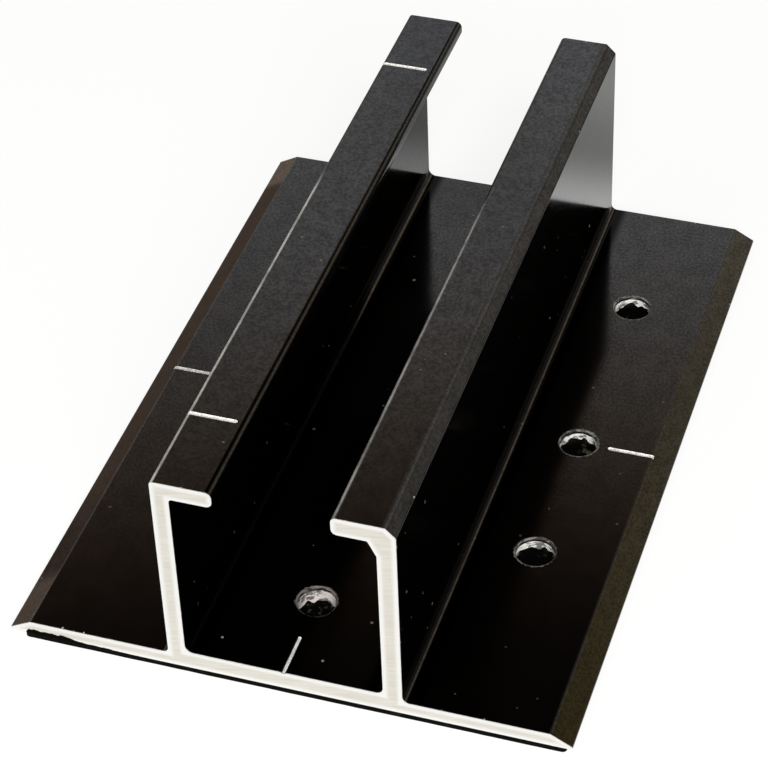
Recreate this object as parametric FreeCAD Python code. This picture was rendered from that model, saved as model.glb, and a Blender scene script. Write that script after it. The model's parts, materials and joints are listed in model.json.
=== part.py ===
import FreeCAD, Part
import math
import os

os.makedirs("parts", exist_ok=True)

# The object is one length of aluminium extrusion that holds a solar rail down on a roof. A wide
# base plate is screwed down through its two flanges and through the floor of the channel. Two
# walls stand on the plate and end in lips that turn in towards each other. The foot of a rail
# clamp slides along the channel and is held under the lips, and its bolt rises through the slot.
# A thin soft pad lies under the plate and seals the screw holes against the roof.
# X runs across the section, Y along the extrusion and Z up. The origin is the centre of the
# pad's underside, and the end nearer to the viewer is at -Y. Sizes are in millimetres.

# Whole extrusion
base_width = 100.0
base_length = 140.0
base_height = 42.0

# Sealing pad, flush with both ends of the plate and set in from its long edges
pad_thickness = 1.1
pad_inset = 1.0
pad_corner_radius = 2.0

# Base plate, which thins to a low edge along both sides
flange_thickness = 2.7
edge_thickness = 0.6
taper_width = 3.8

# Channel between the walls
channel_width = 35.0
floor_thickness = 3.7
left_wall_thickness = 3.2
right_wall_thickness = 3.4

# Lips over the channel, the left one square outside and the right one bevelled
slot_width = 20.0
left_lip_thickness = 3.2
right_lip_thickness = 3.6
shoulder_bevel = 1.8
gusset_width = 1.45
gusset_height = 3.0

# Roundings of the section
edge_radius = 0.2
bend_radius = 0.4
left_foot_radius = 1.0
right_foot_radius = 1.2
left_floor_radius = 1.5
right_floor_radius = 1.3
left_shoulder_radius = 0.7
left_lip_root_radius = 0.6
left_lip_tip_radius = 1.2
right_lip_tip_top_radius = 1.0
right_lip_tip_under_radius = 1.1

# Screw holes
hole_diameter = 6.8
hole_edge_break = 0.25
right_row_from_wall = 11.6
right_row_near_inset = 40.5
right_row_far_inset = 29.5
left_row_from_wall = 10.8
left_row_near_inset = 30.6
left_row_far_inset = 40.5
channel_hole_inset = 17.5

# Scribed marks that show where the holes lie
mark_width = 0.8
mark_depth = 0.2
lip_mark_length = 8.9
flange_mark_length = 12.0
floor_mark_length = 8.7

# How far a cutter runs past the surface that it opens
cutter_overrun = 1.0

# Largest part of a straight side that the rounding at one of its ends may take
rounding_share = 0.49

# Places that follow from the sizes
half_base = base_width / 2
half_length = base_length / 2
half_channel = channel_width / 2
half_slot = slot_width / 2
left_wall_face = -half_channel - left_wall_thickness
right_wall_face = half_channel + right_wall_thickness
left_row = left_wall_face - left_row_from_wall
right_row = right_wall_face + right_row_from_wall
channel_hole_place = half_length - channel_hole_inset


def section_corners():
    """List the section's corners, counter-clockwise from the bottom right, as x, z and radius.

    Heights are taken from the underside of the plate.
    """
    taper_start = half_base - taper_width
    left_lip_underside = base_height - left_lip_thickness
    right_lip_underside = base_height - right_lip_thickness
    base_right = [
        (half_base, 0.0, edge_radius),
        (half_base, edge_thickness, edge_radius),
        (taper_start, flange_thickness, bend_radius),
        (right_wall_face, flange_thickness, right_foot_radius),
    ]
    right_hook = [
        (right_wall_face, base_height - shoulder_bevel, bend_radius),
        (right_wall_face - shoulder_bevel, base_height, bend_radius),
        (half_slot, base_height, right_lip_tip_top_radius),
        (half_slot, right_lip_underside, right_lip_tip_under_radius),
        (half_channel - gusset_width, right_lip_underside, bend_radius),
        (half_channel, right_lip_underside - gusset_height, bend_radius),
    ]
    channel_floor = [
        (half_channel, floor_thickness, right_floor_radius),
        (-half_channel, floor_thickness, left_floor_radius),
    ]
    left_hook = [
        (-half_channel, left_lip_underside, left_lip_root_radius),
        (-half_slot, left_lip_underside, left_lip_tip_radius),
        (-half_slot, base_height, left_lip_tip_radius),
        (left_wall_face, base_height, left_shoulder_radius),
    ]
    base_left = [
        (left_wall_face, flange_thickness, left_foot_radius),
        (-taper_start, flange_thickness, bend_radius),
        (-half_base, edge_thickness, edge_radius),
        (-half_base, 0.0, edge_radius),
    ]
    return base_right + right_hook + channel_floor + left_hook + base_left


def corner_arc(before, corner, after, radius):
    """Return the start, crown and end of the arc that rounds a corner tangent to both sides."""
    back = before - corner
    ahead = after - corner
    shorter_side = min(back.Length, ahead.Length)
    half_angle = back.getAngle(ahead) / 2
    reach = min(radius / math.tan(half_angle), rounding_share * shorter_side)
    fitted_radius = reach * math.tan(half_angle)
    back.normalize()
    ahead.normalize()
    inward = (back + ahead).normalize()
    crown = corner + inward * (fitted_radius / math.sin(half_angle) - fitted_radius)
    return corner + back * reach, crown, corner + ahead * reach


def section_face():
    """Draw the section at the near end as arcs joined by straight sides."""
    corners = section_corners()
    points = [FreeCAD.Vector(x, -half_length, z) for x, z, radius in corners]
    arcs = []
    for index, (x, z, radius) in enumerate(corners):
        following = points[(index + 1) % len(points)]
        arcs.append(corner_arc(points[index - 1], points[index], following, radius))
    edges = []
    for index, arc in enumerate(arcs):
        next_start = arcs[(index + 1) % len(arcs)][0]
        edges.append(Part.Arc(*arc).toShape())
        edges.append(Part.LineSegment(arc[-1], next_start).toShape())
    return Part.Face(Part.Wire(edges))


def hole_cutter(x, y, thickness):
    """Return a drill through a plate of this thickness, with a cone that breaks the top edge."""
    radius = hole_diameter / 2
    drill_length = thickness + 2 * cutter_overrun
    drill = Part.makeCylinder(radius, drill_length, FreeCAD.Vector(x, y, -cutter_overrun))
    cone_height = hole_edge_break + cutter_overrun
    cone_foot = FreeCAD.Vector(x, y, thickness - hole_edge_break)
    cone = Part.makeCone(radius, radius + cone_height, cone_height, cone_foot)
    return drill.fuse(cone)


def hole_cutters():
    """Return the drills of both flange rows and of the two holes in the channel floor.

    Each row has a middle hole and one hole near each end. The right row lies nearer to the
    far end, and the left row nearer to the near end.
    """
    right_places = [right_row_near_inset - half_length, 0.0, half_length - right_row_far_inset]
    left_places = [left_row_near_inset - half_length, 0.0, half_length - left_row_far_inset]
    floor_places = [-channel_hole_place, channel_hole_place]
    right_holes = [hole_cutter(right_row, y, flange_thickness) for y in right_places]
    left_holes = [hole_cutter(left_row, y, flange_thickness) for y in left_places]
    floor_holes = [hole_cutter(0.0, y, floor_thickness) for y in floor_places]
    return right_holes + left_holes + floor_holes


def mark_cutter(edge, tip, surface):
    """Return the cutter of one mark, a shallow groove that is open at edge and round at tip."""
    radius = mark_width / 2
    along = (tip - edge).normalize()
    side = FreeCAD.Vector(-along.y, along.x, 0) * radius
    centre = tip - along * radius
    outside = edge - along * cutter_overrun
    outline = Part.Wire(
        [
            Part.LineSegment(outside + side, centre + side).toShape(),
            Part.Arc(centre + side, tip, centre - side).toShape(),
            Part.LineSegment(centre - side, outside - side).toShape(),
            Part.LineSegment(outside - side, outside + side).toShape(),
        ]
    )
    outline.translate(FreeCAD.Vector(0, 0, surface - mark_depth))
    return Part.Face(outline).extrude(FreeCAD.Vector(0, 0, mark_depth + cutter_overrun))


def lip_mark_cutters():
    """Return the marks across the left lip, in line with the holes in the channel floor."""
    cutters = []
    for y in (-channel_hole_place, channel_hole_place):
        edge = FreeCAD.Vector(left_wall_face, y, 0)
        tip = FreeCAD.Vector(left_wall_face + lip_mark_length, y, 0)
        cutters.append(mark_cutter(edge, tip, base_height))
    return cutters


def flange_mark_cutters():
    """Return the marks across both flanges, in line with the middle hole of each row."""
    cutters = []
    for side in (-1, 1):
        edge = FreeCAD.Vector(side * half_base, 0, 0)
        tip = FreeCAD.Vector(side * (half_base - flange_mark_length), 0, 0)
        cutters.append(mark_cutter(edge, tip, flange_thickness))
    return cutters


def floor_mark_cutters():
    """Return the marks along the middle of the channel floor, one at each end."""
    cutters = []
    for end in (-1, 1):
        edge = FreeCAD.Vector(0, end * half_length, 0)
        tip = FreeCAD.Vector(0, end * (half_length - floor_mark_length), 0)
        cutters.append(mark_cutter(edge, tip, floor_thickness))
    return cutters


def mount_base():
    """Extrude the section, drill its holes, scribe its marks and set it on top of the pad."""
    extrusion = section_face().extrude(FreeCAD.Vector(0, base_length, 0))
    drilled = extrusion.cut(hole_cutters())
    marked = drilled.cut(lip_mark_cutters() + flange_mark_cutters() + floor_mark_cutters())
    solid = marked.removeSplitter().Solids[0]
    solid.translate(FreeCAD.Vector(0, 0, pad_thickness))
    return solid


def sealing_pad():
    """Cut the pad as one flat slab with rounded corners and no holes."""
    pad_width = base_width - 2 * pad_inset
    near_left = FreeCAD.Vector(-pad_width / 2, -half_length, 0)
    slab = Part.makeBox(pad_width, base_length, pad_thickness, near_left)
    upright_edges = [edge for edge in slab.Edges if edge.BoundBox.ZLength > pad_thickness / 2]
    return slab.makeFillet(pad_corner_radius, upright_edges).Solids[0]


for node, shape in (("mount_base", mount_base()), ("sealing_pad", sealing_pad())):
    shape.exportStep(f"parts/{node}.step")
    box = shape.BoundBox
    print(f"{node} valid {shape.isValid()}, faces {len(shape.Faces)}")
    print(f"size {box.XLength:.3f} x {box.YLength:.3f} x {box.ZLength:.3f} mm, foot at {box.ZMin:.3f}")
    print(f"volume {shape.Volume:.1f} cubic mm, area {shape.Area:.1f} square mm")
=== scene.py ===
# %% [markdown]
# # A solar roof mount base
#
# The object is a short length of black anodised aluminium extrusion that holds a solar rail down on
# a roof. Its wide plate is screwed down, a rail clamp slides in the channel between the two walls,
# and a thin layer of butyl under the plate keeps the rain out of the screw holes.
#
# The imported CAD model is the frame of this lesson. It already has the right shape and size, so the
# work here is to give it finishes, and to model what CAD leaves plain: the soft edge of the butyl,
# the butyl that wells up in the holes, and the small faults that a saw and a drill leave.

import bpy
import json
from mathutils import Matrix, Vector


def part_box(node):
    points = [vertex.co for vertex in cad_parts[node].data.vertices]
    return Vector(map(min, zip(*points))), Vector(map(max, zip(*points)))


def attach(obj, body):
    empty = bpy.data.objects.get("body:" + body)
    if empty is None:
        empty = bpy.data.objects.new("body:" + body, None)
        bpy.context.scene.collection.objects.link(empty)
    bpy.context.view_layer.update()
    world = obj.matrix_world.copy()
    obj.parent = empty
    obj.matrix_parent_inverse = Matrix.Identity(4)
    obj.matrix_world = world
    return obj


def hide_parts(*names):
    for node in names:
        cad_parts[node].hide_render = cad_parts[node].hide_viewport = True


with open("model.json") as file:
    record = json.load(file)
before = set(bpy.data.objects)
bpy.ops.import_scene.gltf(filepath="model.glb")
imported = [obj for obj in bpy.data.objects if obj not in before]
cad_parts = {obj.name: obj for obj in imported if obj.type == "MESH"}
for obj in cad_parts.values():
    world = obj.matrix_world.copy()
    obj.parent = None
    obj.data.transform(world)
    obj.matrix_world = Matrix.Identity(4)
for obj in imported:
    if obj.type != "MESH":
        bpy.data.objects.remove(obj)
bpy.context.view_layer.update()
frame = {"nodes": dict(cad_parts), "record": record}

# %% [markdown]
# ## Sizes
#
# Blender works in metres, and this object is small, so one name turns millimetres into metres. What
# the frame knows is read from it: the boxes of the two nodes, and the screw holes in the record's
# list of mounts. Only the places that the finishes need are written out here.

# %% Sizes and places
import json
import math

import bmesh
import bpy
from mathutils import Matrix, Vector, noise

MM = 0.001

base_low, base_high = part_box("mount_base")
pad_low, pad_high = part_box("sealing_pad")
near_end = base_low.y
far_end = base_high.y
plate_underside = base_low.z
lip_top = base_high.z

flange_thickness = 2.7 * MM
floor_thickness = 3.7 * MM
hole_rim_radius = 3.7 * MM
mark_depth = 0.2 * MM


def hole_places():
    """Return the x and y of each screw hole, read from the mounts of the record."""
    places = []
    for mount in frame["record"]["mounts"]:
        x, y = mount["pos_m"][:2]
        if mount["kind"] == "bore":
            places.append((x, y))
        if mount["kind"] == "bolt_pattern":
            half_spacing = mount["dims"]["spacing_y_mm"] * MM / 2
            places += [(x, y - half_spacing), (x, y + half_spacing)]
    return places


holes = hole_places()
print("screw holes in mm:", [(round(x / MM, 1), round(y / MM, 1)) for x, y in holes])

# %% [markdown]
# ## Helpers for nodes
#
# A material is a small program made of nodes. A few helpers keep the cells that follow short. One
# adds a node and fills its sockets with values or links, three work on a place, one does
# arithmetic, and others turn a distance into a soft mask between 0 and 1, blend two colours, or
# give noise. Noise seldom leaves the middle of its range, so another spreads it out. The Mix node
# has several sockets of the same name, one for each kind of value, so they are picked by number.

# %% Node helpers
def add(tree, kind, inputs=None, **options):
    """Add a node, set its options, and fill its input sockets with values or links."""
    made = tree.nodes.new(kind)
    for option, value in options.items():
        setattr(made, option, value)
    for socket, value in (inputs or {}).items():
        if isinstance(value, bpy.types.NodeSocket):
            tree.links.new(value, made.inputs[socket])
        else:
            made.inputs[socket].default_value = value
    return made


def split(tree, place):
    """Return the X, Y and Z of a place or a direction, by name."""
    return add(tree, "ShaderNodeSeparateXYZ", {0: place}).outputs


def stretched(tree, place, factors):
    """Return a place with each of its axes multiplied by a factor."""
    sockets = {0: place, 1: factors}
    return add(tree, "ShaderNodeVectorMath", sockets, operation="MULTIPLY").outputs[0]


def measure(tree, operation, place, other):
    """Return the number, such as a distance, that a node works out from two places."""
    sockets = {0: place, 1: other}
    return add(tree, "ShaderNodeVectorMath", sockets, operation=operation).outputs["Value"]


def calc(tree, operation, first, second=0.0):
    """Return the result of one arithmetic node."""
    return add(tree, "ShaderNodeMath", {0: first, 1: second}, operation=operation).outputs[0]


def fade(tree, value, start, end, low=0.0, high=1.0):
    """Return a value that goes smoothly from low at start to high at end."""
    sockets = {"Value": value, "From Min": start, "From Max": end, "To Min": low, "To Max": high}
    made = add(tree, "ShaderNodeMapRange", sockets, interpolation_type="SMOOTHSTEP")
    return made.outputs["Result"]


def blend(tree, share, first, second):
    """Return the first colour turned into the second one by a share from 0 to 1."""
    made = add(tree, "ShaderNodeMix", {0: share, 6: first, 7: second}, data_type="RGBA")
    return made.outputs[2]


def blend_value(tree, share, first, second):
    """Return the first value turned into the second one by a share from 0 to 1."""
    return add(tree, "ShaderNodeMix", {0: share, 2: first, 3: second}).outputs[0]


def within(tree, value, low, high, soft):
    """Return a mask that is 1 between low and high, with edges that are soft on the outside."""
    rise = fade(tree, value, low - soft, low)
    fall = fade(tree, value, high + soft, high)
    return calc(tree, "MULTIPLY", rise, fall)


def noise_value(tree, place, grains, detail=3.0, roughness=0.5):
    """Return noise with this many grains per millimetre along each axis."""
    scaled = stretched(tree, place, grains)
    sockets = {"Vector": scaled, "Scale": 1.0, "Detail": detail, "Roughness": roughness}
    return add(tree, "ShaderNodeTexNoise", sockets).outputs[0]


def spread(tree, value, low, high):
    """Return a noise value spread out, so that it often reaches both low and high."""
    return fade(tree, value, 0.3, 0.7, low, high)


print("node helpers ready")

# %% [markdown]
# ## Shared effects
#
# Several finishes need the same question answered, such as how far a point lies from the nearest
# hole. Each answer is a node group: a box of nodes with named inputs and outputs, built once and
# placed in every material that needs it. All of them take the place on the object in millimetres.

# %% Start a node group
def new_group(name, inputs, outputs):
    """Return a shader node group with its sockets, and the nodes at its entry and exit."""
    group = bpy.data.node_groups.new(name, "ShaderNodeTree")
    for side, sockets in (("INPUT", inputs), ("OUTPUT", outputs)):
        for label, kind in sockets:
            group.interface.new_socket(name=label, in_out=side, socket_type="NodeSocket" + kind)
    entry = group.nodes.new("NodeGroupInput")
    leave = group.nodes.new("NodeGroupOutput")
    return group, entry, leave


def place_group(tree, group, **inputs):
    """Place a node group in a material, fill its named inputs, and return its outputs."""
    return add(tree, "ShaderNodeGroup", inputs, node_tree=group).outputs


print("groups can be built")

# %% [markdown]
# ### Depth inside the section
#
# On a sawn end the metal is not one even colour. The very border is bright, and the inside has a
# faint tan cast. Both depend on one thing: how deep a point lies inside the outline. The section is
# cut into limbs without hollow corners, each the overlap of a few half planes. In a limb the depth
# is the least distance to its planes, and where limbs overlap the deepest counts.

# %% Group for the depth inside the section
half_base = base_high.x / MM
taper_start, taper_drop = 46.2, 2.1
taper_slope = math.atan2(taper_drop, half_base - taper_start)
left_face, left_inner = -20.7, -17.5
right_face, right_inner = 20.9, 17.5
left_tip, right_tip = -10.0, 10.0
foot = plate_underside / MM
flange_top = foot + flange_thickness / MM
floor_top = foot + floor_thickness / MM
top = lip_top / MM
left_lip_thickness, right_lip_thickness = 3.2, 3.6
left_lip_under, right_lip_under = top - left_lip_thickness, top - right_lip_thickness
shoulder_bevel = 1.8
gusset_width, gusset_height = 1.45, 3.0


def box_planes(left, right, low, high):
    """List the four half planes of an upright box as outward x, outward z and reach."""
    return [(-1, 0, -left), (1, 0, right), (0, -1, -low), (0, 1, high)]


def slanted_plane(x, z, angle):
    """Return the half plane through a point whose outward direction leans by angle from up."""
    outward_x, outward_z = math.sin(angle), math.cos(angle)
    return outward_x, outward_z, outward_x * x + outward_z * z


shoulder = slanted_plane(right_face - shoulder_bevel, top, math.radians(45))
gusset_lean = math.pi + math.atan2(gusset_height, gusset_width)
gusset = slanted_plane(right_inner - gusset_width, right_lip_under, gusset_lean)
section_limbs = [
    box_planes(-half_base, half_base, foot, flange_top)
    + [slanted_plane(taper_start, flange_top, taper_slope)]
    + [slanted_plane(-taper_start, flange_top, -taper_slope)],
    box_planes(left_face, right_face, foot, floor_top),
    box_planes(left_face, left_inner, foot, top),
    box_planes(right_inner, right_face, foot, top) + [shoulder],
    box_planes(left_face, left_tip, left_lip_under, top),
    box_planes(right_tip, right_face, right_lip_under, top) + [shoulder],
    [gusset, shoulder, (1, 0, right_face), (0, 1, top)],
]


def section_depth_group():
    """Build the group that gives the depth of a point inside the section, in millimetres."""
    group, entry, leave = new_group("section depth", [("Place", "Vector")], [("Depth", "Float")])
    deepest = None
    for planes in section_limbs:
        shallowest = None
        for outward_x, outward_z, reach in planes:
            outward = (outward_x, 0, outward_z)
            along = measure(group, "DOT_PRODUCT", entry.outputs["Place"], outward)
            depth = calc(group, "SUBTRACT", reach, along)
            shallowest = depth if shallowest is None else calc(group, "MINIMUM", shallowest, depth)
        deepest = shallowest if deepest is None else calc(group, "MAXIMUM", deepest, shallowest)
    group.links.new(deepest, leave.inputs["Depth"])
    return group


section_depth = section_depth_group()
print("section depth:", len(section_depth.nodes), "nodes")

# %% [markdown]
# ### Distance from the nearest hole
#
# The drill went through the black layer, so a thin ring of bare metal shows round every hole. The
# group measures the flat distance to each hole's axis and keeps the least.

# %% Group for the distance from a hole
def hole_distance_group():
    """Build the group that gives the distance from the nearest hole's axis, in millimetres."""
    group, entry, leave = new_group("hole distance", [("Place", "Vector")], [("Distance", "Float")])
    flat = stretched(group, entry.outputs["Place"], (1, 1, 0))
    nearest = None
    for x, y in holes:
        apart = measure(group, "DISTANCE", flat, (x / MM, y / MM, 0))
        nearest = apart if nearest is None else calc(group, "MINIMUM", nearest, apart)
    group.links.new(nearest, leave.inputs["Distance"])
    return group


hole_distance = hole_distance_group()
print("hole distance:", len(hole_distance.nodes), "nodes")

# %% [markdown]
# ### Lines of the extrusion
#
# Hot aluminium is pressed through a steel die, and every tiny fault of the die draws a line along
# the whole length. Noise that is squeezed hard across the length and stretched along it gives just
# that. Its value drives both a slight roughness change and a very low bump.

# %% Group for the lines of the extrusion
def die_lines_group():
    """Build the group that gives fine lines along the length, from 0 to 1."""
    group, entry, leave = new_group("die lines", [("Place", "Vector")], [("Lines", "Float")])
    fine = noise_value(group, entry.outputs["Place"], (5.0, 0.03, 5.0), 2.0)
    broad = noise_value(group, entry.outputs["Place"], (0.9, 0.01, 0.9), 3.0)
    group.links.new(blend_value(group, 0.5, fine, broad), leave.inputs["Lines"])
    return group


die_lines = die_lines_group()
print("die lines:", len(die_lines.nodes), "nodes")

# %% [markdown]
# ### Specks of dust
#
# Aluminium dust from the saw lies on the black finish as single pale specks. A Voronoi texture
# gives one random spot per cell. Most cells are dropped by their random colour, and the rest get
# a speck whose size and paleness also come from that colour, so that only a few stand out.

# %% Group for dust specks
def dust_group():
    """Build the group that masks scattered specks, with a share of the cells that hold one."""
    inputs = [("Place", "Vector"), ("Cell", "Float"), ("Size", "Float"), ("Share", "Float")]
    group, entry, leave = new_group("dust specks", inputs, [("Specks", "Float")])
    frequency = calc(group, "DIVIDE", 1.0, entry.outputs["Cell"])
    sockets = {"Vector": entry.outputs["Place"], "Scale": frequency}
    cells = add(group, "ShaderNodeTexVoronoi", sockets)
    draw = add(group, "ShaderNodeSeparateColor", {0: cells.outputs["Color"]})
    apart = calc(group, "MULTIPLY", cells.outputs["Distance"], entry.outputs["Cell"])
    radius = calc(group, "MULTIPLY", entry.outputs["Size"], draw.outputs[1])
    speck = calc(group, "LESS_THAN", apart, radius)
    kept = calc(group, "LESS_THAN", draw.outputs[0], entry.outputs["Share"])
    paleness = calc(group, "POWER", draw.outputs[2], 3.0)
    shown = calc(group, "MULTIPLY", kept, paleness)
    group.links.new(calc(group, "MULTIPLY", speck, shown), leave.inputs["Specks"])
    return group


dust = dust_group()
print("dust specks:", len(dust.nodes), "nodes")

# %% [markdown]
# ## Finishes
#
# Each finish starts from the same three things: an empty material, the Principled shader that
# describes its surface, and the place on the object in millimetres.

# %% Start a finish
def new_finish(name):
    """Return a material's node tree, its shader and the place on the object in millimetres."""
    finish = bpy.data.materials.new(name)
    finish.use_nodes = True
    tree = finish.node_tree
    shader = tree.nodes["Principled BSDF"]
    object_place = tree.nodes.new("ShaderNodeTexCoord").outputs["Object"]
    sockets = {0: object_place, "Scale": 1 / MM}
    place = add(tree, "ShaderNodeVectorMath", sockets, operation="SCALE").outputs[0]
    return finish, tree, shader, place


def set_bump(tree, shader, height, depth):
    """Feed a height from 0 to 1 into the shader's normal, as relief of this depth in metres."""
    bump = add(tree, "ShaderNodeBump", {"Height": height, "Strength": 1.0, "Distance": depth})
    tree.links.new(bump.outputs[0], shader.inputs["Normal"])


print("finishes can be built")

# %% [markdown]
# ### Wear and painted highlights along the edges
#
# Hands and the sawing bench have left their marks on the black finish. Two upper edges get a pale
# line of metal that dies out past the middle: partly wear, partly a painted highlight of the
# rounded edge. Both ends of the left taper get a painted reflection, a pale warm tint. Three narrow
# bends get a faint pale line, partly wear and partly a painted highlight. An edge is given by its x
# and z, a mask by how far it reaches from there, and all of them are in millimetres.

# %% Masks along the edges
# The pale lines along these edges are partly wear and partly painted highlight.
wear_and_highlight_edges = [(left_face + 0.2, top - 0.15, 0.6, 1.0), (right_tip + 0.35, top - 0.1, 0.5, 0.65)]
wear_and_highlight_until, wear_and_highlight_fade = 18.0, 8.0
faint_wear_and_highlight_edges = [(right_face - shoulder_bevel, top, 0.055)]
faint_wear_and_highlight_edges += [(taper_start, flange_top, 0.03), (-taper_start, flange_top, 0.03)]
faint_reach = 0.3
rough_edges = [(left_tip, top, 0.8), (right_face - shoulder_bevel, top, 0.7)]
# Shares of the painted reflection at the near and far ends of the left taper.
near_reflection_share, far_reflection_share = 0.04, 0.12


def from_edge(tree, place, edge_x, edge_z):
    """Return the distance from an edge that runs along the whole length."""
    flat = stretched(tree, place, (1, 0, 1))
    return measure(tree, "DISTANCE", flat, (edge_x, 0, edge_z))


def wear_and_highlight_line(tree, place, edge_x, edge_z, reach, strength):
    """Return a line of wear and painted highlight along one upper edge, dying out past the middle.
    """
    line = fade(tree, from_edge(tree, place, edge_x, edge_z), reach, reach / 2)
    uneven = fade(tree, noise_value(tree, place, (0.5, 0.25, 0.5), 4.0), 0.25, 0.65, 0.35, 1.0)
    lasting = fade(tree, split(tree, place)["Y"], wear_and_highlight_until, wear_and_highlight_until - wear_and_highlight_fade, 0.0, strength)
    return calc(tree, "MULTIPLY", line, calc(tree, "MULTIPLY", uneven, lasting))


def faint_wear_and_highlight_line(tree, place, edge_x, edge_z, strength):
    """Return a faint line of wear and painted highlight along one narrow bend."""
    apart = from_edge(tree, place, edge_x, edge_z)
    return fade(tree, apart, faint_reach, faint_reach / 2, 0.0, strength)


def rough_edge(tree, place):
    """Return the mask of the two rounded edges where the skin is rougher."""
    mask = 0.0
    for edge_x, edge_z, reach in rough_edges:
        near = fade(tree, from_edge(tree, place, edge_x, edge_z), reach, 0.8 * reach)
        mask = calc(tree, "MAXIMUM", mask, near)
    return mask


def taper_end_reflections(tree, place):
    """Return how strongly the two ends of the left taper get a painted reflection in the base
    colour.
    """
    parts = split(tree, place)
    near = fade(tree, parts["Y"], -57.5, -60.0, 0.0, near_reflection_share)
    far = fade(tree, parts["Y"], 59.5, 62.0, 0.0, far_reflection_share)
    on_taper = calc(tree, "LESS_THAN", parts["X"], -taper_start)
    return calc(tree, "MULTIPLY", on_taper, calc(tree, "ADD", near, far))


print("masks along", len(wear_and_highlight_edges + faint_wear_and_highlight_edges + rough_edges), "edges")

# %% [markdown]
# ### Wear round the holes and at the cuts
#
# The drill chipped the finish in a ring round each hole, more round some than round others, and the
# saw broke small chips out of it along both cuts. Noise sets how far the ring reaches from the
# hole's axis and the chips from the cut, between a least and a most in millimetres.

# %% Masks round the holes and at the cuts
ring_least, ring_most = 3.68, 3.95
chip_least, chip_most = 0.1, 0.6
soft_step = 0.05


def hole_ring(tree, place):
    """Return the mask of the chipped ring of bare metal round each hole."""
    chip = noise_value(tree, place, (1.6, 1.6, 1.6), 2.0)
    reach = spread(tree, chip, ring_least, ring_most)
    from_hole = place_group(tree, hole_distance, Place=place)["Distance"]
    ring = fade(tree, calc(tree, "SUBTRACT", from_hole, reach), soft_step, -soft_step)
    kept = fade(tree, noise_value(tree, place, (0.12, 0.12, 0.12), 1.0), 0.6, 0.4, 0.03, 0.35)
    return calc(tree, "MULTIPLY", ring, kept)


def cut_chips(tree, place):
    """Return the mask of small chips in the finish along both saw cuts."""
    from_middle = calc(tree, "ABSOLUTE", split(tree, place)["Y"])
    from_end = calc(tree, "SUBTRACT", far_end / MM, from_middle)
    flakes = noise_value(tree, place, (1.5, 0.3, 1.5), 2.0)
    reach = fade(tree, flakes, 0.62, 0.78, chip_least, chip_most)
    return fade(tree, calc(tree, "SUBTRACT", from_end, reach), soft_step, -soft_step)


def bare_metal_and_highlights(tree, place, mirrored):
    """Return the skin's mask of bare metal and painted edge highlights; reflections skip hole rings.
    """
    ring = calc(tree, "MULTIPLY", hole_ring(tree, place), calc(tree, "SUBTRACT", 1.0, mirrored))
    bare = calc(tree, "MAXIMUM", ring, cut_chips(tree, place))
    for edge in wear_and_highlight_edges:
        bare = calc(tree, "MAXIMUM", bare, wear_and_highlight_line(tree, place, *edge))
    for edge in faint_wear_and_highlight_edges:
        bare = calc(tree, "MAXIMUM", bare, faint_wear_and_highlight_line(tree, place, *edge))
    return bare


print("masks of bare metal ready")

# %% [markdown]
# ### Black anodised aluminium
#
# Anodising grows a thin clear oxide on the metal, which is dyed black and sealed. So it is a dark
# body under a smooth glassy skin, and a plain non-metal with a high index of refraction shows it
# better than a metal does: nearly black seen from above, and bright where it is seen edge-on.
# Where the skin mirrors less, Metallic is turned up, because a black metal mirrors nearly nothing.
# A fine mottle does so everywhere. The left taper is dull past its near corner, and the skin beside
# each wall's foot is dull but for a thin line. Reflections leave that line out too.

# %% Loss of mirror
feet = [(right_face, flange_top), (left_inner, floor_top), (right_inner, floor_top)]


def beside_feet(tree, place, mirrored):
    """Return how dull the skin is beside the thin bright line along each wall's foot."""
    dull = 0.0
    for edge_x, edge_z in feet:
        apart = from_edge(tree, place, edge_x, edge_z)
        ending = fade(tree, apart, 2.0, 4.5, 0.95, 0.0)
        beside = calc(tree, "MAXIMUM", fade(tree, apart, 0.7, 1.2), mirrored)
        dull = calc(tree, "MAXIMUM", dull, calc(tree, "MULTIPLY", beside, ending))
    return dull


def dulled_taper(tree, place):
    """Return how far the left taper is dulled past its near corner, which has a painted reflection.
    """
    parts = split(tree, place)
    on_taper = calc(tree, "LESS_THAN", parts["X"], -taper_start)
    start = fade(tree, parts["Y"], -58.0, -55.0)
    ending = fade(tree, parts["Y"], -52.0, -28.0, 0.5, 0.0)
    return calc(tree, "MULTIPLY", on_taper, calc(tree, "MULTIPLY", start, ending))


def mirror_loss(tree, place, grain, mirrored):
    """Return how much of its mirror the skin loses, by its mottle and at its dull places."""
    fine = spread(tree, grain, 0.0, 0.38)
    broad = spread(tree, noise_value(tree, place, (0.35, 0.25, 0.35), 3.0), 0.0, 0.16)
    loss = calc(tree, "ADD", calc(tree, "ADD", fine, broad), dulled_taper(tree, place))
    return calc(tree, "MAXIMUM", loss, beside_feet(tree, place, mirrored))


print("mirror is lost beside", len(feet), "feet")

# %% Black anodised finish
oxide_index = 1.72
brown_blacks = (0.0004, 0.0003, 0.0002, 1), (0.0012, 0.0007, 0.0005, 1)
painted_reflection_colour = (1.0, 0.9, 0.76, 1)
pale_dust = (0.42, 0.39, 0.34, 1)
bare_and_highlight_metal = (0.62, 0.60, 0.56, 1)


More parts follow.
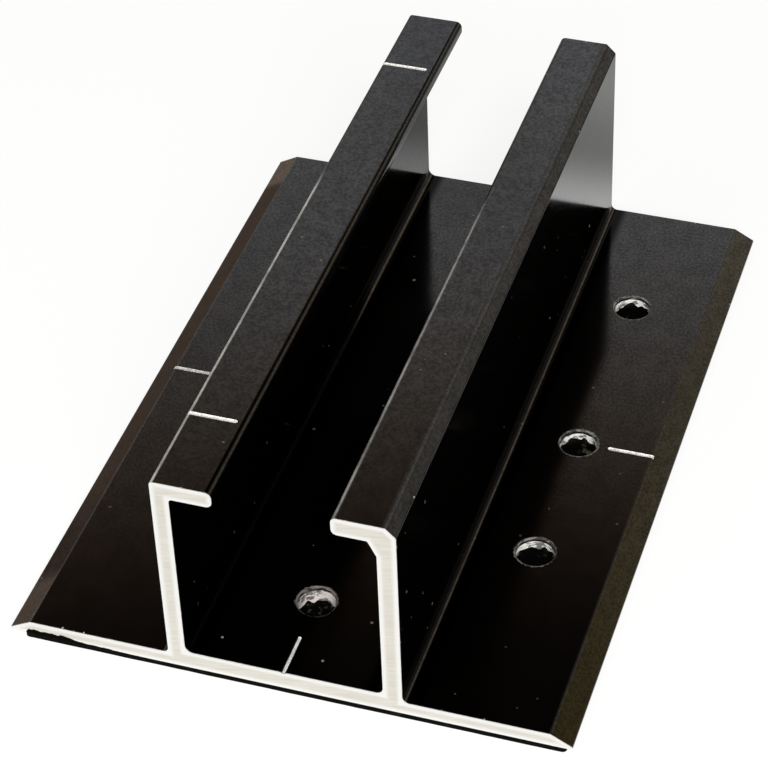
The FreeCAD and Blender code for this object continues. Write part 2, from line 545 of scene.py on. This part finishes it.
def black_anodised_finish():
    """Build the dyed black finish with its lines, dust, wear, painted highlights and reflections."""
    finish, tree, shader, place = new_finish("black anodised")
    mirrored = add(tree, "ShaderNodeLightPath").outputs["Is Glossy Ray"]
    cloud = noise_value(tree, place, (0.05, 0.03, 0.05), 3.0)
    grain = noise_value(tree, place, (2.1, 1.7, 2.1), 1.0)
    lines = place_group(tree, die_lines, Place=place)["Lines"]
    specks = place_group(tree, dust, Place=place, Cell=2.6, Size=0.34, Share=0.3)["Specks"]
    bare = bare_metal_and_highlights(tree, place, mirrored)

    black = blend(tree, cloud, *brown_blacks)
    # Painted reflection: a pale warm tint at both ends of the left taper.
    with_painted_reflection = blend(tree, taper_end_reflections(tree, place), black, painted_reflection_colour)
    dusty = blend(tree, specks, with_painted_reflection, pale_dust)
    # Pale metal at chips and worn places, and painted highlight along the edge lines.
    tree.links.new(blend(tree, bare, dusty, bare_and_highlight_metal), shader.inputs["Base Color"])

    loss = mirror_loss(tree, place, grain, mirrored)
    tree.links.new(blend_value(tree, bare, loss, 0.25), shader.inputs["Metallic"])

    satin = spread(tree, grain, 0.10, 0.14)
    lined = calc(tree, "ADD", satin, calc(tree, "MULTIPLY", lines, 0.01))
    edged = blend_value(tree, rough_edge(tree, place), lined, 0.25)
    matt = blend_value(tree, calc(tree, "MAXIMUM", specks, bare), edged, 0.5)
    tree.links.new(matt, shader.inputs["Roughness"])

    shader.inputs["IOR"].default_value = oxide_index
    set_bump(tree, shader, lines, 0.003 * MM)
    return finish


black_anodised = black_anodised_finish()
print(black_anodised.name, len(black_anodised.node_tree.nodes), "nodes")

# %% [markdown]
# ### Sawn ends
#
# Both ends are fresh saw cuts through bare aluminium. The metal is bright and a little warm, the
# border of the cut is brightest, and the saw has left long faint strokes that slant a little. Some
# butyl has been squeezed out from under the plate and smeared up over the left part of the near
# cut. It is only a film, so the finish paints it: its height above the plate's underside is a
# curve along x.

# %% Sawn finish
stroke_slant = math.radians(12)
smear_left, smear_right = -47.4, -19.0
smear_height = 1.15
smear_relief = 3.0
creams = (0.70, 0.68, 0.63, 1), (0.82, 0.80, 0.75, 1)
tan_cast = (0.63, 0.585, 0.486, 1)
bright_border = (0.87, 0.865, 0.84, 1)
butyl_black = (0.0006, 0.0005, 0.0003, 1)


def smear_mask(tree, place):
    """Return the mask of the butyl smeared over the left part of the near saw cut."""
    parts = split(tree, place)
    start = fade(tree, parts["X"], smear_left, smear_left + 0.8)
    body = fade(tree, parts["X"], smear_left + 6.0, smear_left + 12.0, 1.0, 0.4)
    ending = fade(tree, parts["X"], smear_left + 11.0, smear_right, 1.0, 0.0)
    curve = calc(tree, "MULTIPLY", start, calc(tree, "MULTIPLY", body, ending))
    uneven = fade(tree, noise_value(tree, place, (0.6, 0.6, 0.6), 3.0), 0.25, 0.75, 0.75, 1.2)
    height = calc(tree, "MULTIPLY", calc(tree, "MULTIPLY", curve, uneven), smear_height)
    above = calc(tree, "SUBTRACT", parts["Z"], calc(tree, "ADD", height, foot - 0.1))
    near = fade(tree, parts["Y"], 0.0, -1.0)
    return calc(tree, "MULTIPLY", fade(tree, above, 0.07, -0.07), near)


def sawn_finish():
    """Build the bare metal of the saw cuts, with its strokes and the smear of butyl."""
    finish, tree, shader, place = new_finish("sawn aluminium")
    depth = place_group(tree, section_depth, Place=place)["Depth"]
    sockets = {"Vector": place, "Angle": stroke_slant}
    turned = add(tree, "ShaderNodeVectorRotate", sockets, rotation_type="Y_AXIS").outputs[0]
    strokes = noise_value(tree, turned, (0.12, 0.5, 1.8), 3.0, 0.6)
    scratches = noise_value(tree, turned, (0.3, 1.0, 9.0), 3.0, 0.6)
    patches = noise_value(tree, place, (0.15, 0.15, 0.15), 3.0)
    cream = blend(tree, patches, *creams)
    streaks = fade(tree, strokes, 0.35, 0.7, 0.1, 0.6)
    tan_share = calc(tree, "MULTIPLY", streaks, fade(tree, depth, 0.5, 1.3))
    inside = blend(tree, tan_share, cream, tan_cast)
    metal = blend(tree, fade(tree, depth, 1.15, 0.35), inside, bright_border)
    smear = smear_mask(tree, place)
    tree.links.new(blend(tree, smear, metal, butyl_black), shader.inputs["Base Color"])
    tree.links.new(calc(tree, "SUBTRACT", 1.0, smear), shader.inputs["Metallic"])
    shader.inputs["Specular IOR Level"].default_value = 0.05
    roughness = spread(tree, scratches, 0.38, 0.52)
    tree.links.new(blend_value(tree, smear, roughness, 0.95), shader.inputs["Roughness"])
    relief = calc(tree, "ADD", scratches, calc(tree, "MULTIPLY", smear, smear_relief))
    set_bump(tree, shader, relief, 0.012 * MM)
    return finish


sawn = sawn_finish()
print(sawn.name, len(sawn.node_tree.nodes), "nodes")

# %% [markdown]
# ### Drilled bores
#
# The drill tore the metal a little, so the wall of a hole scatters light more than it mirrors it.
# Fine rings run round it, a dark band of painted shade lies under the dull broken edge, and dark
# stains break the bright metal up. Depths are measured down from the surface, in millimetres. The
# black walls don't mirror that bright metal, which Light Path sees to.

# %% Drilled finish
band_start, band_end = 0.44, 0.88
edge_depth, wall_depth = 0.22, 0.3
# This dark colour serves both the real stains and the painted shade of the band.
stain_and_shade_dark = (0.008, 0.008, 0.005, 1)
flange_bores, channel_bores = (0.97, 0.96, 0.93, 1), (0.80, 0.74, 0.72, 1)


def drilled_finish():
    """Build the torn bare metal of the holes' walls, with a band of painted shade under the broken
    edge.
    """
    finish, tree, shader, place = new_finish("drilled bore")
    parts = split(tree, place)
    in_channel = calc(tree, "LESS_THAN", calc(tree, "ABSOLUTE", parts["X"]), right_inner)
    surface = blend_value(tree, in_channel, flange_top, floor_top)
    rings = noise_value(tree, place, (0.5, 0.5, 6.0), 3.0, 0.6)
    waver = noise_value(tree, place, (0.9, 0.9, 0.9), 2.0)
    below = calc(tree, "SUBTRACT", surface, parts["Z"])
    wavering = calc(tree, "ADD", below, calc(tree, "MULTIPLY", waver, 0.3))
    # Painted shade: a dark band just under the broken edge.
    band = within(tree, wavering, band_start, band_end, 0.1)
    broken = fade(tree, noise_value(tree, place, (0.3, 0.3, 0.3), 2.0), 0.36, 0.5, 0.8, 1.0)
    stain = fade(tree, noise_value(tree, place, (0.55, 0.55, 0.9), 4.0, 0.65), 0.42, 0.53, 0.2, 1.0)
    clean = spread(tree, rings, 0.85, 1.0)
    broken_edge = fade(tree, below, wall_depth, edge_depth, 1.0, 0.22)
    light = calc(tree, "MULTIPLY", calc(tree, "MULTIPLY", clean, stain), broken_edge)
    unbanded = calc(tree, "SUBTRACT", 1.0, calc(tree, "MULTIPLY", band, broken))
    bright = calc(tree, "MULTIPLY", light, unbanded)
    metal = blend(tree, in_channel, flange_bores, channel_bores)
    colour = blend(tree, bright, stain_and_shade_dark, metal)
    mirrored = add(tree, "ShaderNodeLightPath").outputs["Is Glossy Ray"]
    tree.links.new(blend(tree, mirrored, colour, (0, 0, 0, 1)), shader.inputs["Base Color"])
    shader.inputs["Specular IOR Level"].default_value = 0.1
    rough = spread(tree, rings, 0.5, 0.65)
    matt = blend_value(tree, fade(tree, below, wall_depth, edge_depth), rough, 1.0)
    tree.links.new(matt, shader.inputs["Roughness"])
    set_bump(tree, shader, rings, 0.03 * MM)
    return finish


drilled = drilled_finish()
print(drilled.name, len(drilled.node_tree.nodes), "nodes")

# %% [markdown]
# ### Scribed marks
#
# The marks were scratched through the black by a hard point. Their floor is bare metal too. It is
# grainy, and rough enough to look pale from every side. The two in the channel were scratched with
# less force, so only their middle is bare and their sides are dark.

# %% Scribed finish
bare_half_width, side_reach = 0.3, 1.0
scratched_metals = (0.62, 0.61, 0.59, 1), (0.95, 0.94, 0.92, 1)


def scribed_finish():
    """Build the pale rough metal of the scribed marks."""
    finish, tree, shader, place = new_finish("scribed mark")
    grain = noise_value(tree, place, (3.0, 3.0, 1.0), 3.0, 0.6)
    colour = blend(tree, fade(tree, grain, 0.35, 0.6), *scratched_metals)
    from_middle = calc(tree, "ABSOLUTE", split(tree, place)["X"])
    side = within(tree, from_middle, bare_half_width, side_reach, 0.06)
    tree.links.new(blend(tree, side, colour, (0.001, 0.001, 0.001, 1)), shader.inputs["Base Color"])
    shader.inputs["Metallic"].default_value = 0.25
    shader.inputs["Roughness"].default_value = 0.5
    set_bump(tree, shader, grain, 0.02 * MM)
    return finish


scribed = scribed_finish()
print(scribed.name, len(scribed.node_tree.nodes), "nodes")

# %% [markdown]
# ### Butyl
#
# Butyl is a black, tacky rubber that never sets. The edge of the sheet has been handled and is dull
# as soot, while the butyl that welled up in the holes is fresh and has a soft sheen. One function
# builds both. The strength of its mirror, its roughness and its olive patches differ, and those
# patches are painted glints.

# %% Butyl finishes
def butyl_finish(name, mirror, roughness, painted_glint):
    """Build the soft black rubber with its mirror and the strength of its painted olive glints."""
    finish, tree, shader, place = new_finish(name)
    dimples = noise_value(tree, place, (0.9, 0.9, 0.9), 4.0, 0.6)
    cloud = noise_value(tree, place, (0.35, 0.35, 0.35), 4.0, 0.65)
    # Olive patches in the base colour are painted glints.
    olive = fade(tree, cloud, 0.56, 0.7)
    tinged = (painted_glint, 0.9 * painted_glint, 0.45 * painted_glint, 1)
    colour = blend(tree, olive, (0.0012, 0.001, 0.0008, 1), tinged)
    tree.links.new(colour, shader.inputs["Base Color"])
    rough = spread(tree, dimples, roughness - 0.1, roughness + 0.1)
    tree.links.new(rough, shader.inputs["Roughness"])
    shader.inputs["Specular IOR Level"].default_value = mirror
    set_bump(tree, shader, dimples, 0.12 * MM)
    return finish


dull_butyl = butyl_finish("dull butyl", mirror=0.04, roughness=0.7, painted_glint=0.006)
fresh_butyl = butyl_finish("fresh butyl", mirror=0.06, roughness=0.6, painted_glint=0.14)
print(dull_butyl.name, "and", fresh_butyl.name)

# %% [markdown]
# ## The extrusion
#
# The CAD node has the right form, but it is a cloud of loose triangles in one material. A copy is
# merged into one closed skin, and its flat areas are dissolved back into single faces. Then the
# borders of both saw cuts get a very small bevel, because a real cut never has a razor edge and the
# bevel catches the light. The copy keeps the node's place and stands for it.

# %% Merge a copy of the CAD node
end_bevel = 0.12 * MM


def merged_copy(node):
    """Return a bmesh of a CAD node with its triangles joined and its flat areas dissolved."""
    joined = bmesh.new()
    joined.from_mesh(frame["nodes"][node].data)
    bmesh.ops.remove_doubles(joined, verts=joined.verts, dist=MM / 1000)
    flat = math.radians(0.2)
    bmesh.ops.dissolve_limit(joined, angle_limit=flat, verts=joined.verts, edges=joined.edges)
    joined.normal_update()
    return joined


def on_an_end(face):
    """Say whether a face lies in the plane of a saw cut."""
    along = face.calc_center_median().y
    from_cut = min(abs(along - near_end), abs(along - far_end))
    return abs(face.normal.y) > 0.999 and from_cut < MM / 100


extrusion_mesh = merged_copy("mount_base")
cut_faces = [face for face in extrusion_mesh.faces if on_an_end(face)]
cut_borders = [edge for face in cut_faces for edge in face.edges]
bmesh.ops.bevel(
    extrusion_mesh, geom=cut_borders, offset=end_bevel, offset_type="OFFSET", segments=2,
    profile=0.5, affect="EDGES", clamp_overlap=False, material=-1,
)
extrusion_mesh.normal_update()
print("faces after the bevel:", len(extrusion_mesh.faces))

# %% [markdown]
# Every face now gets one of four finishes by where it lies: the saw cuts and their bevels, the
# walls of the holes with their broken edges, the sunk faces of the marks, and the black skin for
# the rest.

# %% Give each face its finish
finish_order = [black_anodised, sawn, drilled, scribed]
SKIN, CUT, BORE, MARK = range(4)
surface_heights = [lip_top, plate_underside + flange_thickness, plate_underside + floor_thickness]
largest_mark = 4 * MM


def in_a_hole(face):
    """Say whether all of a face lies inside the rim of one screw hole."""
    corners = [vertex.co for vertex in face.verts]
    for x, y in holes:
        if all(math.hypot(corner.x - x, corner.y - y) < hole_rim_radius for corner in corners):
            return True
    return False


def in_a_mark(face, place):
    """Say whether a face is the floor or a side of a scribed mark."""
    sunk = [height - place.z for height in surface_heights]
    shallow = any(0.25 * mark_depth < below < 1.05 * mark_depth for below in sunk)
    small = face.calc_area() ** 0.5 < largest_mark
    level_or_upright = abs(face.normal.z) > 0.999 or abs(face.normal.z) < 0.001
    return shallow and small and level_or_upright


def finish_of(face):
    """Choose the finish of one face of the extrusion."""
    place = face.calc_center_median()
    if place.y < near_end + 1.2 * end_bevel or place.y > far_end - 1.2 * end_bevel:
        return CUT
    if in_a_hole(face):
        return BORE
    if in_a_mark(face, place):
        return MARK
    return SKIN


counts = [0, 0, 0, 0]
for face in extrusion_mesh.faces:
    face.material_index = finish_of(face)
    counts[face.material_index] += 1
    face.smooth = True
print("faces of skin, cut, bore and mark:", counts)

# %% [markdown]
# Smooth shading blends the light over the small faces of each rounded corner. Edges sharper than
# 30 degrees stay crisp, and weighted normals keep the broad flats truly flat beside the roundings.
# The normals that came along from the CAD mesh no longer fit, so they are dropped.

# %% Make the extrusion
def make_piece(name, source, finishes, node):
    """Turn a bmesh into a finished piece that stands for a CAD node."""
    mesh = bpy.data.meshes.new(name)
    source.to_mesh(mesh)
    source.free()
    if "custom_normal" in mesh.attributes:
        mesh.attributes.remove(mesh.attributes["custom_normal"])
    for finish in finishes:
        mesh.materials.append(finish)
    piece = bpy.data.objects.new(name, mesh)
    bpy.context.scene.collection.objects.link(piece)
    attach(piece, "root")
    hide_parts(node)
    print(name, len(mesh.vertices), "vertices", len(mesh.polygons), "faces")
    return piece


extrusion = make_piece(
    "extrusion", extrusion_mesh, finish_order, "mount_base",
)
extrusion.data.set_sharp_from_angle(angle=math.radians(30))
evened = extrusion.modifiers.new("flat faces stay flat", "WEIGHTED_NORMAL")
evened.keep_sharp = True

# %% [markdown]
# ## The sealing pad
#
# The butyl comes as a soft sheet, pressed to the plate a little off its middle. Its corners are
# round, its edge wanders, and pressure has pushed some of it up into the holes. The sheet starts as
# a cube, scaled to the CAD pad's box but short of it on the left. The upright edges are bevelled
# into the round corners, cuts across it give the edge something to bend at, and the rims are
# rounded.

# %% Sheet of butyl
corner_radius = 0.9 * MM
cut_spacing = 2.0 * MM
rim_radius = 0.12 * MM
edge_wander = 0.3 * MM
wander_at_cuts = 0.3
short_on_left = 1.4 * MM
sheet_low = pad_low + Vector((short_on_left, 0, 0))
sheet_size = pad_high - sheet_low
sheet_middle = (sheet_low + pad_high) / 2


def cut_across(sheet, axis, spacing):
    """Cut the sheet square to one axis at even spacing, so that its edge can bend."""
    steps = round(sheet_size[axis] / spacing)
    normal = Vector((0, 0, 0))
    normal[axis] = 1
    for step in range(1, steps):
        place = sheet_low.copy()
        place[axis] += sheet_size[axis] * step / steps
        geometry = sheet.verts[:] + sheet.edges[:] + sheet.faces[:]
        bmesh.ops.bisect_plane(
            sheet, geom=geometry, plane_co=place, plane_no=normal, dist=MM / 10000,
        )


def rim_edges(sheet):
    """List the edges where the flat top or bottom meets the upright sides."""
    rims = []
    for edge in sheet.edges:
        steepness = sorted(abs(face.normal.z) for face in edge.link_faces)
        if len(steepness) == 2 and steepness[0] < 0.1 and steepness[1] > 0.9:
            rims.append(edge)
    return rims


def push_edge(sheet):
    """Move the edge of the sheet in by an amount that wanders, less at the two saw cuts."""
    sheet.normal_update()
    moves = []
    for vertex in sheet.verts:
        sideways = Vector((vertex.normal.x, vertex.normal.y, 0))
        if sideways.length > 0.2:
            swell = noise.fractal(vertex.co * 0.25 / MM, 0.6, 2.0, 3)
            inward = edge_wander * min(1.0, max(0.0, 0.5 + swell))
            kept = wander_at_cuts if abs(sideways.y) > abs(sideways.x) else 1.0
            moves.append((vertex, -sideways * inward * kept))
    for vertex, move in moves:
        vertex.co += move


def butyl_sheet():
    """Model the pad's sheet inside the CAD pad's box."""
    sheet = bmesh.new()
    bmesh.ops.create_cube(sheet, size=1.0)
    bmesh.ops.scale(sheet, vec=sheet_size, verts=sheet.verts)
    bmesh.ops.translate(sheet, vec=sheet_middle, verts=sheet.verts)
    uprights = [edge for edge in sheet.edges if edge.calc_length() < 2 * sheet_size.z]
    bmesh.ops.bevel(
        sheet, geom=uprights, offset=corner_radius, offset_type="OFFSET", segments=8,
        profile=0.5, affect="EDGES", material=-1,
    )
    cut_across(sheet, 0, cut_spacing)
    cut_across(sheet, 1, cut_spacing)
    sheet.normal_update()
    bmesh.ops.bevel(
        sheet, geom=rim_edges(sheet), offset=rim_radius, offset_type="OFFSET", segments=3,
        profile=0.5, affect="EDGES", material=-1,
    )
    push_edge(sheet)
    return sheet


pad_mesh = butyl_sheet()
print("sheet:", len(pad_mesh.faces), "faces")

# %% [markdown]
# Under each hole the butyl is free to rise. It climbs the wall of the bore in a ragged line and
# stays lower in the middle. Each plug is a disc whose face is inset a few times, so that it has
# rings to lift by different amounts, and whose foot sinks into the sheet.

# %% Butyl in the holes
FRESH = 1
plug_radius = 3.39 * MM
climb = 0.6 * MM
climb_start = 0.75
climb_raggedness = 0.9 * MM
mound_height = 0.25 * MM
plug_foot = 0.4 * MM
ring_widths = (0.16 * MM, 0.22 * MM, 0.4 * MM, 0.8 * MM, 0.8 * MM)


def plug_height(vertex, x, y):
    """Return how far the butyl stands above the plate's underside at one vertex of a plug."""
    from_middle = math.hypot(vertex.co.x - x, vertex.co.y - y) / plug_radius
    ragged = climb_raggedness * noise.noise(vertex.co * 0.9 / MM)
    mound = mound_height * (1 + noise.noise(vertex.co * 0.35 / MM))
    rise = max(0.0, (from_middle - climb_start) / (1 - climb_start)) ** 1.5
    return mound + (climb + ragged - mound) * rise


def add_plug(sheet, x, y):
    """Add one closed plug of butyl in the foot of a screw hole."""
    place = Matrix.Translation((x, y, plate_underside))
    made = bmesh.ops.create_circle(
        sheet, cap_ends=True, segments=56, radius=plug_radius, matrix=place,
    )
    disc = made["verts"][0].link_faces[0]
    surface = [disc]
    for width in ring_widths:
        ring = bmesh.ops.inset_individual(
            sheet, faces=[disc], thickness=width, use_even_offset=True,
        )
        surface += ring["faces"]
    skirt = bmesh.ops.extrude_face_region(sheet, geom=surface)
    risen = [item for item in skirt["geom"] if isinstance(item, bmesh.types.BMVert)]
    for vertex in {vertex for face in surface if face.is_valid for vertex in face.verts}:
        vertex.co.z = plate_underside - plug_foot
    for vertex in risen:
        vertex.co.z = plate_underside + plug_height(vertex, x, y)
        for face in vertex.link_faces:
            face.material_index = FRESH


for x, y in holes:
    add_plug(pad_mesh, x, y)
print("sheet and plugs:", len(pad_mesh.faces), "faces")

# %% [markdown]
# Now the sheet and its plugs become one piece. The sheet wears the dull butyl, and the plugs the
# fresh one. Edges sharper than 50 degrees stay crisp, and all else is shaded smooth.

# %% Make the pad
bmesh.ops.recalc_face_normals(pad_mesh, faces=pad_mesh.faces)
for face in pad_mesh.faces:
    face.smooth = True
pad = make_piece("sealing_sheet", pad_mesh, [dull_butyl, fresh_butyl], "sealing_pad")
pad.data.set_sharp_from_angle(angle=math.radians(50))

# %% [markdown]
# ## The studio
#
# A black mirror-like object shows its surroundings more than itself, so the room matters as much as
# the finish. The floor is a plain pale plane that catches the object's shadow. The camera and the
# reflections also see a white of its own on it, so that the background stays white while the shadow
# still shows. In reflections that white carries painted light and shade: it is bright under and
# beside the object, and fainter behind it, towards its left and far to its right.

# %% Floor
floor_size = 6.0
own_white_share = 0.8
white_to_camera = 1.065


def floor_finish():
    """Build the pale floor, whose own white shows to the camera and, with painted shade, in
    reflections.
    """
    finish = bpy.data.materials.new("pale floor")
    finish.use_nodes = True
    tree = finish.node_tree
    tree.nodes.clear()
    paint = add(tree, "ShaderNodeBsdfDiffuse", {"Color": (0.86, 0.855, 0.84, 1)})
    path = add(tree, "ShaderNodeLightPath").outputs
    place = add(tree, "ShaderNodeTexCoord").outputs["Object"]
    parts = split(tree, place)
    # Painted light and shade for reflections: bright near the object, darker behind, left and far
    # right.
    darker = fade(tree, parts["Y"], far_end, far_end + 24 * MM, 1.15, 0.34)
    lighter = fade(tree, parts["Y"], far_end + 26 * MM, far_end + 50 * MM, 0.0, 0.2)
    beside = fade(tree, parts["X"], 0.0, 20 * MM, 0.6, 1.0)
    aside = fade(tree, parts["X"], 50 * MM, 70 * MM, 1.0, 0.25)
    in_front = fade(tree, parts["Y"], near_end + MM, near_end)
    kept = calc(tree, "MAXIMUM", calc(tree, "MULTIPLY", beside, aside), in_front)
    mirrored = calc(tree, "MULTIPLY", calc(tree, "ADD", darker, lighter), kept)
    strength = blend_value(tree, path["Is Camera Ray"], mirrored, white_to_camera)
    white = add(tree, "ShaderNodeEmission", {"Color": (1, 1, 1, 1), "Strength": strength})
    seen = calc(tree, "MAXIMUM", path["Is Camera Ray"], path["Is Glossy Ray"])
    seen = calc(tree, "MAXIMUM", seen, path["Is Transmission Ray"])
    share = calc(tree, "MULTIPLY", seen, own_white_share)
    mixed = add(tree, "ShaderNodeMixShader", {0: share, 1: paint.outputs[0], 2: white.outputs[0]})
    add(tree, "ShaderNodeOutputMaterial", {"Surface": mixed.outputs[0]})
    return finish


floor_mesh = bmesh.new()
bmesh.ops.create_grid(floor_mesh, x_segments=1, y_segments=1, size=floor_size / 2)
bmesh.ops.translate(floor_mesh, vec=(0, 0, -0.02 * MM), verts=floor_mesh.verts)
floor_data = bpy.data.meshes.new("floor")
floor_mesh.to_mesh(floor_data)
floor_mesh.free()
floor_data.materials.append(floor_finish())
floor = bpy.data.objects.new("floor", floor_data)
bpy.context.scene.collection.objects.link(floor)
print("floor ready")

# %% [markdown]
# ### The room
#
# The level tops of the object mirror a band of the room behind it, between 34 and 48 degrees up.
# A bright wall stands there on the left. Its light falls off upward through brown to black, so the
# tops run from grey at the far end to black at the near end. The slanting shoulder and the edge of
# the right flange look to the right instead, where the room is dim and warm. Both parts are colour
# ramps over the height of a direction, and its azimuth blends from one to the other. Soft noise
# makes the light a little blotchy, as that of a real room is.

# %% Light of the room
wall_ramp = [
    (0.03, (0.28, 0.18, 0.13)),
    (0.30, (0.50, 0.42, 0.34)),
    (0.50, (0.84, 0.87, 0.94)),
    (0.60, (0.81, 0.81, 0.83)),
    (0.63, (0.70, 0.67, 0.66)),
    (0.66, (0.48, 0.39, 0.31)),
    (0.68, (0.30, 0.18, 0.10)),
    (0.692, (0.13, 0.055, 0.02)),
    (0.703, (0.0, 0.0, 0.0)),
]
dim_ramp = [
    (0.0, (0.03, 0.026, 0.022)),
    (0.13, (0.06, 0.052, 0.045)),
    (0.18, (0.52, 0.48, 0.44)),
    (0.26, (0.58, 0.54, 0.49)),
    (0.44, (0.78, 0.70, 0.55)),
    (0.54, (0.52, 0.38, 0.12)),
    (0.60, (0.0, 0.0, 0.0)),
]


def ramp(tree, value, stops):
    """Return a colour ramp over a value, with stops that each have a place and a colour."""
    made = add(tree, "ShaderNodeValToRGB", {0: value})
    elements = made.color_ramp.elements
    for place, colour in stops[2:]:
        elements.new(place)
    for element, (place, colour) in zip(elements, stops):
        element.position = place
        element.color = (*colour, 1)
    return made.outputs[0]


def room_light():
    """Build the light of the room from its two ramps."""
    world = bpy.data.worlds.new("room")
    bpy.context.scene.world = world
    world.use_nodes = True
    tree = world.node_tree
    tree.nodes.clear()
    direction = add(tree, "ShaderNodeTexCoord").outputs["Generated"]
    parts = split(tree, direction)
    azimuth = calc(tree, "ARCTAN2", parts["X"], parts["Y"])
    on_wall = within(tree, azimuth, math.radians(-60), math.radians(0), math.radians(10))
    aside = fade(tree, azimuth, math.radians(20), math.radians(28))
    low = fade(tree, parts["Z"], 0.52, 0.42)
    off_wall = calc(tree, "MAXIMUM", aside, low)
    dim = blend(tree, off_wall, (0, 0, 0, 1), ramp(tree, parts["Z"], dim_ramp))
    smooth_room = blend(tree, on_wall, dim, ramp(tree, parts["Z"], wall_ramp))
    uneven = fade(tree, noise_value(tree, direction, (12, 12, 12), 3.0), 0.65, 0.35, 0.0, 0.28)
    room = blend(tree, uneven, smooth_room, (0, 0, 0, 1))
    path = add(tree, "ShaderNodeLightPath")
    shown = blend(tree, path.outputs["Is Camera Ray"], room, (1, 1, 1, 1))
    light = add(tree, "ShaderNodeBackground", {"Color": shown, "Strength": 1.0})
    add(tree, "ShaderNodeOutputWorld", {"Surface": light.outputs[0]})


room_light()
print("room ready")

# %% [markdown]
# ## Lamps
#
# Two broad, soft lamps stand in front, high up. They light the floor, the marks and the walls of
# the holes. Their mirror images fall outside the camera's view of the black tops, which stay dark.

# %% Lamps
def add_lamp(name, azimuth, elevation, distance, width, power):
    """Place a square lamp that faces the object. Azimuth 0 is in front, and 90 is to the right."""
    light = bpy.data.lights.new(name, "AREA")
    light.size = width
    light.energy = power
    lamp = bpy.data.objects.new(name, light)
    around, above = math.radians(azimuth), math.radians(elevation)
    level, height = distance * math.cos(above), distance * math.sin(above)
    lamp.location = (level * math.sin(around), -level * math.cos(around), height)
    lamp.rotation_euler = (-Vector(lamp.location)).to_track_quat("-Z", "Y").to_euler()
    bpy.context.scene.collection.objects.link(lamp)


add_lamp("key", azimuth=25, elevation=38, distance=1.3, width=0.6, power=17.0)
add_lamp("fill", azimuth=-35, elevation=45, distance=1.4, width=0.9, power=5.5)
print("two lamps")

# %% [markdown]
# ## Camera
#
# The camera stands to the right of the near end and looks down on the object through a long lens,
# as in the photograph. Its place is given by the point it looks at, the distance, and three angles.

# %% Camera
aim = Vector((-4.03, -1.66, 10.84)) * MM
view_distance = 511.99 * MM
view_azimuth = math.radians(19.40)
view_elevation = math.radians(40.75)
view_roll = math.radians(-2.43)
lens_length = 130.704

view_direction = Vector((
    math.sin(view_azimuth) * math.cos(view_elevation),
    -math.cos(view_azimuth) * math.cos(view_elevation),
    math.sin(view_elevation),
))
camera_data = bpy.data.cameras.new("camera")
camera_data.lens = lens_length
camera_data.sensor_width = 36.0
camera_data.clip_start = 0.01
camera = bpy.data.objects.new("camera", camera_data)
upright = (-view_direction).to_track_quat("-Z", "Y").to_matrix().to_4x4()
stand = Matrix.Translation(aim + view_direction * view_distance)
camera.matrix_world = stand @ upright @ Matrix.Rotation(view_roll, 4, "Z")
bpy.context.scene.collection.objects.link(camera)
bpy.context.scene.camera = camera
bpy.context.scene.view_settings.view_transform = "Standard"
print("camera at", [round(value / MM, 1) for value in camera.matrix_world.translation])
